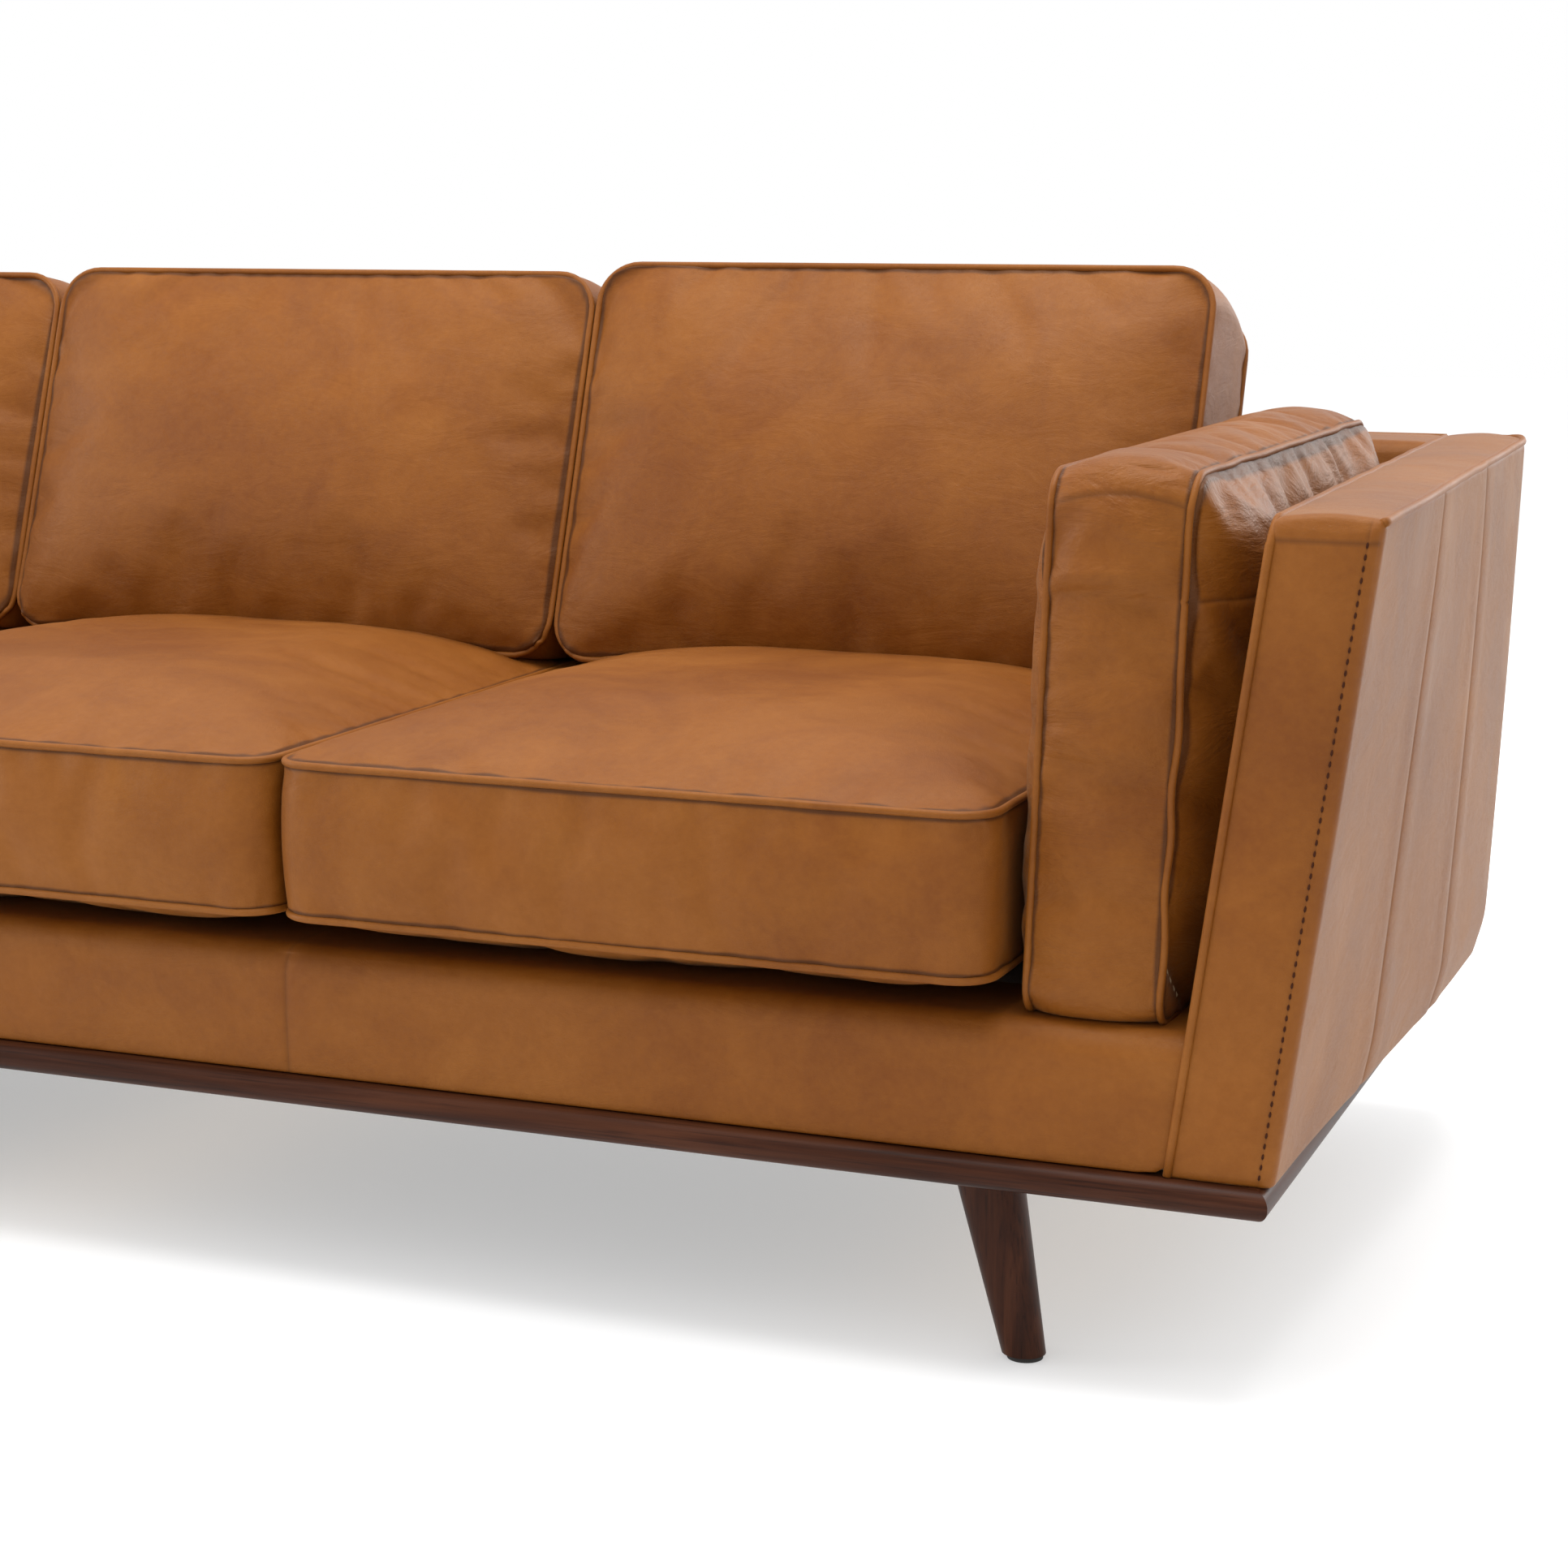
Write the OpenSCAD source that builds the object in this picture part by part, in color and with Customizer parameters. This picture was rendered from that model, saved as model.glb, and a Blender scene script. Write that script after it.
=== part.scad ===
// Three-seat sofa: hardwood frame, leather covers, loose cushions, walnut plinth and legs.
// X runs along the sofa, Y from front to back, Z up. The origin is on the floor under the middle.

/* [Overall] */
// Width of one seat cushion
seat_w = 600; // [480:10:740]
// Depth of the walnut plinth, front to back
base_depth = 880; // [760:10:1060]
// Height of the plinth's underside above the floor
leg_h = 155; // [125:1:190]
// Height of the arms and the back frame above the floor
arm_top = 660; // [550:1:790]

/* [Plinth and rail] */
// Thickness of the plinth boards
plinth_t = 24; // [18:1:32]
// Width of the plinth boards, outer edge to inner edge
plinth_w = 50; // [44:1:54]
// How far the plinth stands out in front of the leather
plinth_lip = 13; // [5:1:18]
// Height of the leather rail under the seat cushions
rail_h = 106; // [90:1:126]
// How far the rail's leather runs back over the deck
rail_flap = 110; // [80:1:130]

/* [Arms and back] */
// Thickness of an arm
arm_t = 78; // [66:1:94]
// How far an arm's top stands outside its foot
arm_lean = 60; // [20:1:90]
// Extra padding on the arm's outer side
arm_side_pad = 8; // [0:1:16]
// Padding behind the arm's rear post, where the leather rounds the corner
arm_rear_pad = 56; // [20:1:80]
// Space between the seat cushions and a bolster
bolster_gap = 14; // [6:1:20]
// Thickness of the back frame's top edge
back_t = 107; // [80:1:125]
// How far the back's inner face leans back between the deck and its top
back_lean = 105; // [80:1:125]
// Thickness of the boards in the frame
board_t = 22; // [18:1:26]
// Thickness of the foam over the boards
pad_t = 12; // [8:1:14]
// Thickness of the leather
leather_t = 2; // [1.2:0.1:3]

/* [Suspension] */
// Springs under each seat cushion
springs_per_seat = 3; // [2:1:4]
// Thickness of the spring wire
spring_wire = 3.5; // [3:0.1:4.5]
// Width of the zigzag of a spring
spring_w = 58; // [50:1:70]
// Width of a webbing strap in the back
strap_w = 50; // [40:1:60]

/* [Seat cushions] */
// Height of a seat cushion at the top of its crown
seat_t = 176; // [140:1:210]
// How far the seat cushions stand out past the plinth
seat_overhang = 8; // [0:1:20]
// Space between neighbouring cushions
cushion_gap = 2; // [1:0.5:4]

/* [Back cushions] */
// Thickness of a back cushion
back_cushion_t = 172; // [140:1:190]
// Height of a back cushion, measured along its lean
back_cushion_h = 325; // [270:1:390]
// Angle that the back cushions lean back
back_cushion_tilt = 19.3; // [16:0.1:21]

/* [Bolsters] */
// Thickness of a bolster
bolster_t = 108; // [86:1:128]
// Height of a bolster
bolster_h = 404; // [330:1:470]
// How far a bolster's front stands behind the leather of the front rail
bolster_setback = 15; // [5:1:60]

/* [Legs] */
// Diameter of a leg at the plinth
leg_d = 54; // [44:1:60]
// Diameter of a leg at the floor
foot_d = 33; // [30:1:38]
// Distance of a corner foot from the plinth's end
foot_inset_x = 200; // [160:1:240]
// Distance of a corner foot from the plinth's face
foot_inset_y = 79; // [79:1:110]
// How far a corner foot stands outside the top of its leg
leg_splay_x = 39; // [0:1:45]
// How far a corner foot stands in front of the top of its leg
leg_splay_y = 14; // [6:1:20]
// Diameter of the bolt that holds a leg
leg_bolt_d = 8; // [6:1:10]

/* [Hidden] */
$fn = 48;

leather_colour = [0.59, 0.37, 0.21];
walnut_colour = [0.19, 0.10, 0.07];
board_colour = [0.80, 0.66, 0.46];
foam_colour = [0.93, 0.89, 0.74];
steel_colour = [0.62, 0.63, 0.65];
cloth_colour = [0.10, 0.10, 0.11];
webbing_colour = [0.30, 0.24, 0.18];

// A hair's breadth that lets a cut run clean past a face
cut = 1;
// Space left between parts that only lie against each other
clearance = 0.5;
// Space between one layer of the upholstery and the next
layer_gap = 0.1;
// Spaces left beside the cushions, so that each lifts straight out
bolster_arm_gap = 7;
bolster_back_gap = 7;
seat_back_gap = 8;
back_rest_gap = 6;
dust_t = 1;
cover_t = 2.5;
web_t = 1.5;
plate_t = 3;
plate_l = 120;
plate_hole_inset = 12;
screw_d = 4;
screw_head_d = 8;
screw_head_t = 1.5;
screw_l = 18;
hole_play = 0.15;
glide_t = 4;
glide_d = foot_d - 5;
leg_bolt_l = 60;
// How deep a leg bolt's blank starts under the leg board
leg_bolt_grip = 45;
frame_bolt_d = 8;
bolt_head_d = 20;
bolt_head_t = 3;
bolt_inset_front = 200;
bolt_inset_rear = 120;
spring_room = 30;
cushion_radius = 28;
back_cushion_radius = 36;
bolster_radius = 16;
rail_radius = 22;

// Heights
base_z = leg_h + plinth_t;
frame_z = base_z + dust_t;
deck_z = base_z + rail_h;
board_top = deck_z - leather_t - pad_t;
seat_top = deck_z + clearance + seat_t;
rail_board_h = board_top - frame_z;

// Across the sofa
seat_half = 1.5 * seat_w;
bolster_x = seat_half + bolster_gap;
arm_x = bolster_x + bolster_t + bolster_arm_gap;
base_half = arm_x + arm_t;

// Front to back
front_y = -base_depth / 2 + plinth_lip;
rear_y = base_depth / 2 - plinth_lip;
seat_front = -base_depth / 2 - seat_overhang;
inner_y = rear_y - back_t - back_lean;
flap_y = front_y + rail_flap;
seat_depth = inner_y - seat_back_gap - seat_front;

// Skin thicknesses from the outside in
skin = leather_t + pad_t;

// Inner and outer faces of the right arm, and the inner face of the back, at height z
function arm_in(z) = arm_x + arm_lean * (z - base_z) / (arm_top - base_z);
function arm_out(z) = arm_in(z) + arm_t;
function back_in(z) = inner_y + back_lean * (z - deck_z) / (arm_top - deck_z);

// ---- Shapes that repeat ----

module rounded_rect(w, h, r) {
    translate([r, 0]) square([w - 2 * r, h]);
    translate([0, r]) square([w, h - 2 * r]);
    for (x = [r, w - r], y = [r, h - r]) translate([x, y]) circle(r);
}

// A box with its edges rounded in plan, in front view and in side view
module rounded_box(w, d, h, r) {
    intersection() {
        linear_extrude(h) rounded_rect(w, d, r);
        translate([0, d, 0]) rotate([90, 0, 0]) linear_extrude(d) rounded_rect(w, h, r);
        rotate([90, 0, 90]) linear_extrude(w) rounded_rect(d, h, r);
    }
}

// A box given by its lowest and highest corners
module block(low, high) {
    translate(low) cube(high - low);
}

// A shape drawn in front view, carried from y0 to y1
module along_y(y0, y1) {
    translate([0, y1, 0]) rotate([90, 0, 0]) linear_extrude(y1 - y0) children();
}

// A shape drawn in side view, carried from x0 to x1
module along_x(x0, x1) {
    translate([x0, 0, 0]) rotate([90, 0, 90]) linear_extrude(x1 - x0) children();
}

// A leaning slab inside the right arm, set in from its side faces and a spare depth more outside
module arm_slab(inset, y0, y1, z0, z1, spare = 0) {
    outer = inset + spare;
    along_y(y0, y1) polygon([
        [arm_in(z0) + inset, z0], [arm_out(z0) - outer, z0],
        [arm_out(z1) - outer, z1], [arm_in(z1) + inset, z1]
    ]);
}

// The space between the two leaning arms
module between_arms(z0, z1) {
    low = arm_in(z0) - layer_gap;
    high = arm_in(z1) - layer_gap;
    along_y(-base_depth, base_depth) polygon([[-low, z0], [low, z0], [high, z1], [-high, z1]]);
}

module left() {
    mirror([1, 0, 0]) children();
}

// ---- Seat frame ----

module front_rail() {
    color(board_colour)
        block([-arm_x, front_y + skin, frame_z], [arm_x, front_y + skin + board_t, board_top]);
}

module rear_rail() {
    color(board_colour) block([-arm_x, inner_y - board_t, frame_z], [arm_x, inner_y, board_top]);
}

// Holes for the bolts that hold an arm, at these places front to back
bolt_ys = [front_y + bolt_inset_front, inner_y - bolt_inset_rear];
bolt_z = frame_z + rail_board_h / 2;

module frame_bolt_hole() {
    for (y = bolt_ys)
        translate([arm_x - board_t - cut, y, bolt_z]) rotate([0, 90, 0])
            cylinder(h = board_t + arm_t, d = frame_bolt_d + 2 * hole_play);
}

module side_rail() {
    color(board_colour) difference() {
        block([arm_x - board_t, front_y + skin + board_t, frame_z], [arm_x, inner_y - board_t, board_top]);
        frame_bolt_hole();
    }
}

// Stretchers under the joints between the seat cushions, cut down to clear the springs
module seat_stretchers() {
    color(board_colour)
        for (side = [-1, 1])
            translate([side * seat_w / 2 - board_t / 2, 0, 0])
                block([0, front_y + skin + board_t, frame_z], [board_t, inner_y - board_t, board_top - spring_room]);
}

module corner_blocks() {
    size = 60;
    block_step = 20;
    inner_x = arm_x - board_t;
    color(board_colour)
        for (side = [-1, 1], end = [0, 1])
            translate([0, 0, frame_z]) linear_extrude(rail_board_h - block_step)
                polygon([
                    [side * inner_x, end == 0 ? front_y + skin + board_t : inner_y - board_t],
                    [side * (inner_x - size), end == 0 ? front_y + skin + board_t : inner_y - board_t],
                    [side * inner_x, end == 0 ? front_y + skin + board_t + size : inner_y - board_t - size]
                ]);
}

// ---- Legs and what holds them ----

foot_x = base_half - foot_inset_x;
foot_y = base_depth / 2 - foot_inset_y;
centre_foot_y = 170;
plate_z = base_z - board_t - plate_t;
// The part of a leg's height that lies below its plate
plate_reach = plate_z / leg_h;
// A leg plate fills the space up to the plinth board beside it
plate_w = 2 * (foot_inset_y + plate_reach * leg_splay_y - plinth_w - clearance);

// Turns the leg's own axis onto its splay, with the foot at the origin
module splayed(run_x, run_y) {
    slant = norm([run_x, run_y, leg_h]);
    rotate([-asin(run_y / slant), -atan(run_x / leg_h), 0]) children();
}

// Puts its children at the foot of each leg: the four corners, then the upright one in the middle
module at_feet() {
    for (side = [-1, 1], end = [-1, 1])
        scale_mirror(side, -end) translate([foot_x, -foot_y, 0]) splayed(leg_splay_x, leg_splay_y) children();
    translate([0, centre_foot_y, 0]) children();
}

// Puts its children under the plinth boards where each leg's axis meets them
module at_leg_tops() {
    for (side = [-1, 1], end = [-1, 1])
        scale_mirror(side, -end)
            translate([foot_x - plate_reach * leg_splay_x, -foot_y + plate_reach * leg_splay_y, plate_z]) children();
    translate([0, centre_foot_y, plate_z]) children();
}

module scale_mirror(side, end) {
    mirror([side < 0 ? 1 : 0, 0, 0]) mirror([0, end < 0 ? 1 : 0, 0]) children();
}

// The blank runs past the floor and the plate, and is cut level at both
module leg_blank() {
    over = 20;
    grow = (leg_d - foot_d) / 2 / leg_h;
    translate([0, 0, -over])
        cylinder(h = leg_h + 2 * over, r1 = foot_d / 2 - grow * over, r2 = leg_d / 2 + grow * over);
}

module leg_bolt_blank(d, length) {
    translate([0, 0, leg_h - board_t - leg_bolt_grip]) cylinder(h = length, d = d);
}

module corner_leg() {
    color(walnut_colour) translate([foot_x, -foot_y, 0]) difference() {
        intersection() {
            splayed(leg_splay_x, leg_splay_y) leg_blank();
            block([-leg_h, -leg_h, glide_t], [leg_h, leg_h, plate_z]);
        }
        splayed(leg_splay_x, leg_splay_y) leg_bolt_blank(leg_bolt_d + 2 * hole_play, leg_h);
    }
}

module leg_centre() {
    color(walnut_colour) translate([0, centre_foot_y, 0]) difference() {
        intersection() {
            leg_blank();
            block([-leg_h, -leg_h, glide_t], [leg_h, leg_h, plate_z]);
        }
        leg_bolt_blank(leg_bolt_d + 2 * hole_play, leg_h);
    }
}

module leg_bolts() {
    color(steel_colour) at_feet() leg_bolt_blank(leg_bolt_d, leg_bolt_l);
}

module foot_glides() {
    color(cloth_colour) {
        for (side = [-1, 1], end = [-1, 1])
            translate([side * foot_x, end * foot_y, 0]) cylinder(h = glide_t, d = glide_d);
        translate([0, centre_foot_y, 0]) cylinder(h = glide_t, d = glide_d);
    }
}

module screw_places() {
    across = plate_l / 2 - plate_hole_inset;
    deep = plate_w / 2 - plate_hole_inset;
    at_leg_tops() for (x = [-across, across], y = [-deep, deep]) translate([x, y, 0]) children();
}

module screw_holes() {
    screw_places() translate([0, 0, -cut]) cylinder(h = screw_l + cut, d = screw_d + 2 * hole_play);
}

module bolt_holes() {
    at_feet() leg_bolt_blank(leg_bolt_d + 2 * hole_play, leg_bolt_l + cut);
}

module leg_plates() {
    color(steel_colour) difference() {
        at_leg_tops() translate([-plate_l / 2, -plate_w / 2, 0]) cube([plate_l, plate_w, plate_t]);
        bolt_holes();
        screw_holes();
    }
}

module plate_screws() {
    color(steel_colour) screw_places() {
        cylinder(h = screw_l, d = screw_d);
        translate([0, 0, -screw_head_t]) cylinder(h = screw_head_t, d = screw_head_d);
    }
}

// A board across the underside that the leg plates are screwed to
module leg_board(x) {
    half = plate_l / 2 + 10;
    color(board_colour) difference() {
        block([x - half, -base_depth / 2 + plinth_w, base_z - board_t],
            [x + half, base_depth / 2 - plinth_w, base_z]);
        bolt_holes();
        screw_holes();
    }
}

leg_board_x = foot_x - leg_splay_x;

// ---- Arms ----

arm_inner_top = arm_top - skin;
arm_rear_y = rear_y - arm_rear_pad;

module arm_posts() {
    post_y = [front_y + skin, (front_y + rear_y) / 2 - board_t / 2, arm_rear_y - board_t];
    color(board_colour) for (y = post_y)
        arm_slab(skin, y, y + board_t, base_z, arm_inner_top - board_t, arm_side_pad);
}

module arm_rails() {
    middle = (front_y + rear_y) / 2;
    spans = [[front_y + skin + board_t, middle - board_t / 2], [middle + board_t / 2, arm_rear_y - board_t]];
    color(board_colour) {
        arm_slab(skin, front_y + skin, arm_rear_y, arm_inner_top - board_t, arm_inner_top, arm_side_pad);
        difference() {
            for (span = spans) arm_slab(skin, span[0], span[1], base_z, board_top, arm_side_pad);
            frame_bolt_hole();
        }
    }
}

module arm_pad() {
    outer = leather_t + layer_gap;
    inner = skin - layer_gap;
    color(foam_colour) difference() {
        arm_slab(outer, front_y + outer, rear_y - outer, base_z, arm_top - outer);
        arm_slab(inner, front_y + inner, arm_rear_y + layer_gap, base_z - cut, arm_top - inner, arm_side_pad);
        frame_bolt_hole();
    }
}

module arm_cover() {
    color(leather_colour) difference() {
        arm_slab(0, front_y, rear_y, base_z, arm_top);
        arm_slab(leather_t, front_y + leather_t, rear_y - leather_t, base_z - cut, arm_top - leather_t);
        frame_bolt_hole();
    }
}

module frame_bolts() {
    color(steel_colour) for (side = [-1, 1], y = bolt_ys)
        scale_mirror(side, 1) translate([arm_x - board_t, y, bolt_z]) rotate([0, 90, 0]) {
            cylinder(h = board_t + arm_t - skin - arm_side_pad, d = frame_bolt_d);
            translate([0, 0, -bolt_head_t]) cylinder(h = bolt_head_t, d = bolt_head_d);
        }
}

// ---- Back ----

rib_top = arm_top - skin - board_t;
rib_inset = skin + web_t;

module back_ribs() {
    rib_x = [-arm_x, -seat_w / 2 - board_t / 2, seat_w / 2 - board_t / 2, arm_x - board_t];
    color(board_colour) for (x = rib_x)
        along_x(x, x + board_t) polygon([
            [inner_y, frame_z], [inner_y, deck_z - leather_t],
            [back_in(deck_z) + rib_inset, deck_z - leather_t], [back_in(rib_top) + rib_inset, rib_top],
            [rear_y - leather_t, rib_top], [rear_y - leather_t, frame_z]
        ]);
}

module back_top_rail() {
    top = rib_top + board_t;
    color(board_colour) along_x(-arm_x, arm_x) polygon([
        [back_in(rib_top) + rib_inset, rib_top], [back_in(top) + rib_inset, top],
        [rear_y - leather_t, top], [rear_y - leather_t, rib_top]
    ]);
}

// Straps up the face of the ribs, evenly spread across each seat
module back_webbing() {
    color(webbing_colour) for (seat = [-1:1], strap = [-1:1]) {
        x = seat * seat_w + strap * seat_w / 4;
        along_x(x - strap_w / 2, x + strap_w / 2) polygon([
            [back_in(deck_z) + skin, deck_z], [back_in(rib_top) + skin, rib_top],
            [back_in(rib_top) + rib_inset, rib_top], [back_in(deck_z) + rib_inset, deck_z]
        ]);
    }
}

// A layer over the back's inner face and top, from one depth under the surface to another
module back_layer(outer, inner) {
    intersection() {
        along_x(-base_half, base_half) polygon([
            [back_in(deck_z) + outer, deck_z], [back_in(arm_top - outer) + outer, arm_top - outer],
            [rear_y - leather_t, arm_top - outer], [rear_y - leather_t, arm_top - inner],
            [back_in(arm_top - inner) + inner, arm_top - inner], [back_in(deck_z) + inner, deck_z]
        ]);
        between_arms(deck_z, arm_top);
    }
}

module back_pad() {
    color(foam_colour) back_layer(leather_t, skin);
}

module back_cover() {
    color(leather_colour) back_layer(0, leather_t);
}

module outside_back() {
    color(leather_colour) intersection() {
        block([-base_half, rear_y - leather_t, base_z], [base_half, rear_y, arm_top]);
        between_arms(base_z, arm_top);
    }
}

// ---- Deck and front rail ----

// Side view of the front rail with a rounded top edge, set in from its faces
module rail_side(inset) {
    r = rail_radius - inset;
    y = front_y + inset;
    z = deck_z - inset;
    translate([y + r, frame_z]) square([flap_y - y - r, z - frame_z]);
    translate([y, frame_z]) square([flap_y - y, z - r - frame_z]);
    translate([y + r, z - r]) circle(r);
}

// What lies behind and under a layer that ends this deep under the rail's surface
module rail_hollow(inset) {
    width = rail_flap + cut;
    bottom = frame_z - cut;
    translate([front_y + inset, bottom]) square([width, deck_z - rail_radius - bottom]);
    translate([front_y + rail_radius, bottom]) square([width, deck_z - inset - bottom]);
    translate([front_y + rail_radius, deck_z - rail_radius]) circle(rail_radius - inset);
}

module front_rail_cover() {
    color(leather_colour) intersection() {
        along_x(-base_half, base_half) difference() {
            rail_side(0);
            rail_hollow(leather_t);
        }
        between_arms(base_z, deck_z);
    }
}

module front_rail_pad() {
    color(foam_colour) along_x(-arm_x, arm_x) difference() {
        rail_side(leather_t + layer_gap);
        translate([front_y + skin, frame_z - cut]) square([rail_flap + cut, board_top + cut - frame_z]);
    }
}

module deck_pad() {
    color(foam_colour) block([-arm_x, flap_y, board_top], [arm_x, inner_y, deck_z - leather_t]);
}

module deck_cloth() {
    color(cloth_colour) block([-arm_x, flap_y, deck_z - leather_t], [arm_x, inner_y, deck_z]);
}

module dust_cover() {
    color(cloth_colour) block([-arm_x, front_y + skin, base_z], [arm_x, rear_y - leather_t, frame_z]);
}

// ---- Springs ----

spring_front = front_y + skin + board_t;
spring_rear = inner_y - board_t;
spring_bends = 16;
// How far a bar runs on into the bends at its ends
spring_lap = 2;
spring_pitch = (spring_rear - spring_front) / spring_bends;
bend_r = spring_pitch / 2;

// Half a ring in plan, open towards -X
module half_ring(r) {
    difference() {
        circle(r + spring_wire / 2);
        circle(r - spring_wire / 2);
        translate([-2 * r, -2 * r]) square([2 * r, 4 * r]);
    }
}

// One zigzag of wire, drawn flat: bars across, joined by half rings at alternate ends
module spring_path() {
    reach = spring_w / 2 - bend_r;
    bar = 2 * (reach + spring_lap);
    for (row = [0:spring_bends - 1])
        translate([-bar / 2, (row + 0.5) * spring_pitch - spring_wire / 2]) square([bar, spring_wire]);
    for (bend = [1:spring_bends - 1])
        translate([bend % 2 == 0 ? reach : -reach, bend * spring_pitch])
            mirror([bend % 2 == 0 ? 0 : 1, 0]) half_ring(bend_r);
}

module at_springs() {
    spacing = seat_w / springs_per_seat;
    first = -seat_half + spacing / 2;
    for (spring = [0:3 * springs_per_seat - 1])
        translate([first + spring * spacing, spring_front, board_top - spring_wire]) children();
}

module seat_springs() {
    color(steel_colour) at_springs() linear_extrude(spring_wire) spring_path();
}

// Steel clips on the rails that hold the first and last bar of each spring
module spring_clips() {
    clip_w = 16;
    length = bend_r + 3;
    run = spring_rear - spring_front;
    color(steel_colour) at_springs() for (end = [0, 1])
        translate([-clip_w / 2, end == 0 ? 0 : run - length, -2]) difference() {
            cube([clip_w, length, spring_wire + 2]);
            translate([-cut, (end == 0 ? bend_r : length - bend_r) - spring_wire / 2 - hole_play, 2 - hole_play])
                cube([clip_w + 2 * cut, spring_wire + 2 * hole_play, spring_wire + cut]);
        }
}

// ---- Plinth, mitred at the corners ----

// A board with a rounded outer edge, drawn in section with its outer edge at the origin
module plinth_section() {
    r = plinth_t / 2;
    translate([r, 0]) square([plinth_w - r, plinth_t]);
    translate([r, r]) circle(r);
}

// The wedge of plan that belongs to the board on the -Y side
module mitre(half_x, half_y) {
    reach = 2 * plinth_w;
    translate([0, 0, base_z - plinth_t - cut]) linear_extrude(plinth_t + 2 * cut) polygon([
        [-half_x - reach, -half_y - reach], [half_x + reach, -half_y - reach],
        [half_x - reach, -half_y + reach], [-half_x + reach, -half_y + reach]
    ]);
}

module plinth_long() {
    color(walnut_colour) intersection() {
        translate([0, -base_depth / 2, leg_h]) along_x(-base_half, base_half) plinth_section();
        mitre(base_half, base_depth / 2);
    }
}

module plinth_short() {
    color(walnut_colour) rotate([0, 0, 90]) intersection() {
        translate([0, -base_half, leg_h]) along_x(-base_depth / 2, base_depth / 2) plinth_section();
        mitre(base_depth / 2, base_half);
    }
}

// ---- Seat cushions ----

module seat_form(inset) {
    w = seat_w - cushion_gap;
    translate([-w / 2 + inset, seat_front + inset, deck_z + clearance + inset])
        rounded_box(w - 2 * inset, seat_depth - 2 * inset, seat_t - 2 * inset, cushion_radius - inset);
}

module seat_cover(seat) {
    color(leather_colour) translate([seat * seat_w, 0, 0]) difference() {
        seat_form(0);
        seat_form(cover_t);
    }
}

module seat_foam(seat) {
    color(foam_colour) translate([seat * seat_w, 0, 0]) seat_form(cover_t + clearance);
}

// ---- Back cushions ----

// Where a back cushion's lower rear edge lies: just clear of the back's inner face
back_cushion_z = seat_top + clearance;
// How far the cushion's foot stays in front of the back's top edge along the lean
back_foot_y = back_in(arm_top) - (arm_top - back_cushion_z) * tan(back_cushion_tilt) - back_rest_gap;

// A leaning cushion with its foot cut level where it stands on the seat
module back_form(inset) {
    w = seat_w - cushion_gap;
    t = back_cushion_t;
    drop = t * tan(back_cushion_tilt) + back_cushion_radius;
    intersection() {
        translate([-w / 2 + inset, back_foot_y, back_cushion_z])
            rotate([-back_cushion_tilt, 0, 0])
                translate([0, -t + inset, -drop + inset])
                    rounded_box(w - 2 * inset, t - 2 * inset, back_cushion_h + drop - 2 * inset,
                        back_cushion_radius - inset);
        block([-w, -base_depth, back_cushion_z + inset], [w, base_depth, back_cushion_z + 2 * back_cushion_h]);
    }
}

module back_cushion_cover(seat) {
    color(leather_colour) translate([seat * seat_w, 0, 0]) difference() {
        back_form(0);
        back_form(cover_t);
    }
}

module back_cushion_fill(seat) {
    color(foam_colour) translate([seat * seat_w, 0, 0]) back_form(cover_t + clearance);
}

// ---- Bolsters ----

bolster_y = front_y + bolster_setback;
bolster_l = inner_y - bolster_back_gap - bolster_y;

module bolster_form(inset) {
    translate([bolster_x + inset, bolster_y + inset, deck_z + clearance + inset])
        rounded_box(bolster_t - 2 * inset, bolster_l - 2 * inset, bolster_h - 2 * inset, bolster_radius - inset);
}

module bolster_cover() {
    color(leather_colour) difference() {
        bolster_form(0);
        bolster_form(cover_t);
    }
}

module bolster_fill() {
    color(foam_colour) bolster_form(cover_t + clearance);
}

// ---- The assembly ----

front_rail();
rear_rail();
left() side_rail();  // side_rail_left
side_rail();  // side_rail_right
seat_stretchers();
corner_blocks();
leg_board(-leg_board_x);  // leg_board_left
leg_board(0);  // leg_board_middle
leg_board(leg_board_x);  // leg_board_right
left() arm_posts();  // arm_posts_left
left() arm_rails();  // arm_rails_left
arm_posts();  // arm_posts_right
arm_rails();  // arm_rails_right
back_ribs();
back_top_rail();
seat_springs();
spring_clips();
back_webbing();
front_rail_pad();
left() arm_pad();  // arm_pad_left
arm_pad();  // arm_pad_right
back_pad();
deck_pad();
deck_cloth();
front_rail_cover();
left() arm_cover();  // arm_cover_left
arm_cover();  // arm_cover_right
back_cover();
outside_back();
dust_cover();
plinth_long();  // plinth_front
mirror([0, 1, 0]) plinth_long();  // plinth_rear
mirror([1, 0, 0]) plinth_short();  // plinth_left
plinth_short();  // plinth_right
left() corner_leg();  // leg_front_left
corner_leg();  // leg_front_right
scale_mirror(-1, -1) corner_leg();  // leg_rear_left
scale_mirror(1, -1) corner_leg();  // leg_rear_right
leg_centre();
leg_plates();
leg_bolts();
plate_screws();
foot_glides();
frame_bolts();
seat_cover(-1);  // seat_cover_left
seat_cover(0);  // seat_cover_middle
seat_cover(1);  // seat_cover_right
seat_foam(-1);  // seat_foam_left
seat_foam(0);  // seat_foam_middle
seat_foam(1);  // seat_foam_right
back_cushion_cover(-1);  // back_cushion_cover_left
back_cushion_cover(0);  // back_cushion_cover_middle
back_cushion_cover(1);  // back_cushion_cover_right
back_cushion_fill(-1);  // back_cushion_fill_left
back_cushion_fill(0);  // back_cushion_fill_middle
back_cushion_fill(1);  // back_cushion_fill_right
left() bolster_cover();  // bolster_cover_left
bolster_cover();  // bolster_cover_right
left() bolster_fill();  // bolster_fill_left
bolster_fill();  // bolster_fill_right
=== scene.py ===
import math
import bmesh
import bpy
import numpy as np
from mathutils import Matrix, Vector, noise


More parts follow.
